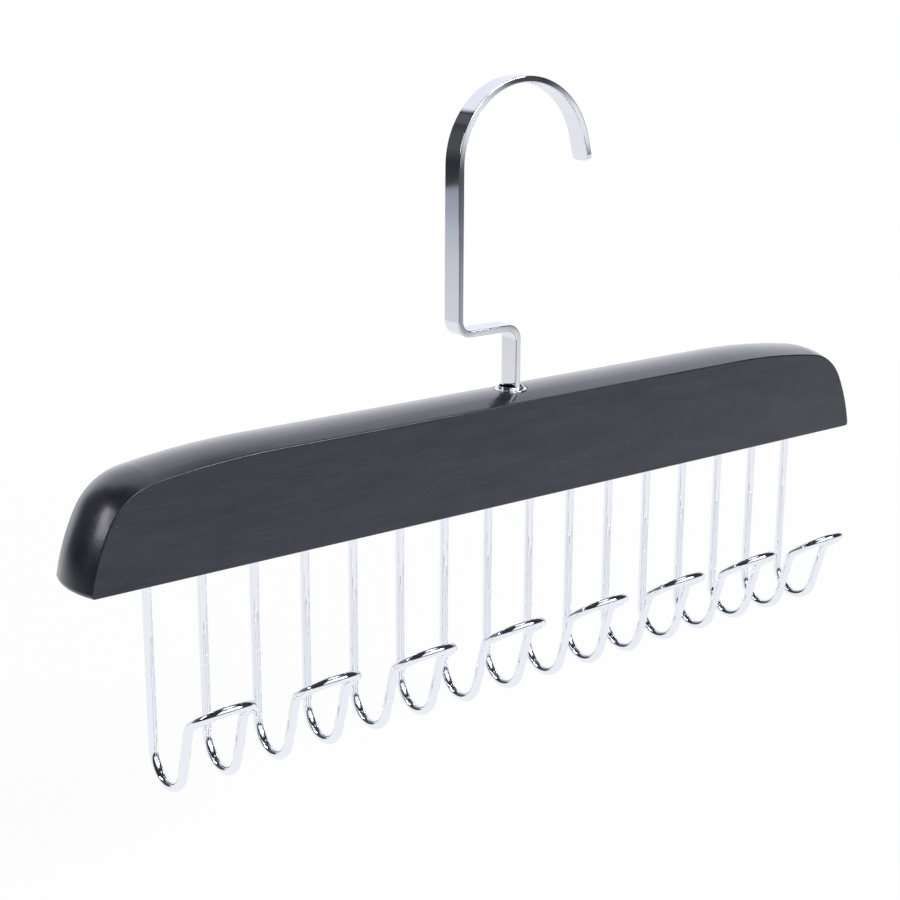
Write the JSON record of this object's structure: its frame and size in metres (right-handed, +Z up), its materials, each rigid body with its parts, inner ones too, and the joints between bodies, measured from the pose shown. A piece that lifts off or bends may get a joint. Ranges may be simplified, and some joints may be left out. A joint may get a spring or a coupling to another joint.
{
  "type": "tie hanger",
  "caption": "Tie hanger: black wooden bar on a flat swivelling hook, with a row of double wire hooks along its underside.",
  "frame": {"origin": "centre of the crook's circle, at the middle of the strip's width", "axes": "+X along the bar towards the side the crook opens to, -Y towards the side the wire hooks reach out on, +Z up"},
  "size_m": [0.3044, 0.0439, 0.1912],
  "materials": {
    "bar": "satin black stain over fine straight grain",
    "ferrule": "bright plated",
    "flat_hook": "bright plated strip",
    "rivet_washer": "plain zinc",
    "wire_hooks": "bright plated wire"
  },
  "bodies": {
    "hook": {"flat_hook": "flat_hook", "rivet_washer": "rivet_washer"},
    "rack": {"bar": "bar", "ferrule": "ferrule", "wire_hook_1": "wire_hooks", "wire_hook_2": "wire_hooks", "wire_hook_3": "wire_hooks", "wire_hook_4": "wire_hooks", "wire_hook_5": "wire_hooks", "wire_hook_6": "wire_hooks", "wire_hook_7": "wire_hooks", "wire_hook_8": "wire_hooks"}
  },
  "joints": [
    {"name": "swivel", "type": "hinge", "parent": "hook", "child": "rack", "pos_m": [-0.0021, 0, -0.0738], "axis": [0, 0, 1], "continuous": true}
  ]
}
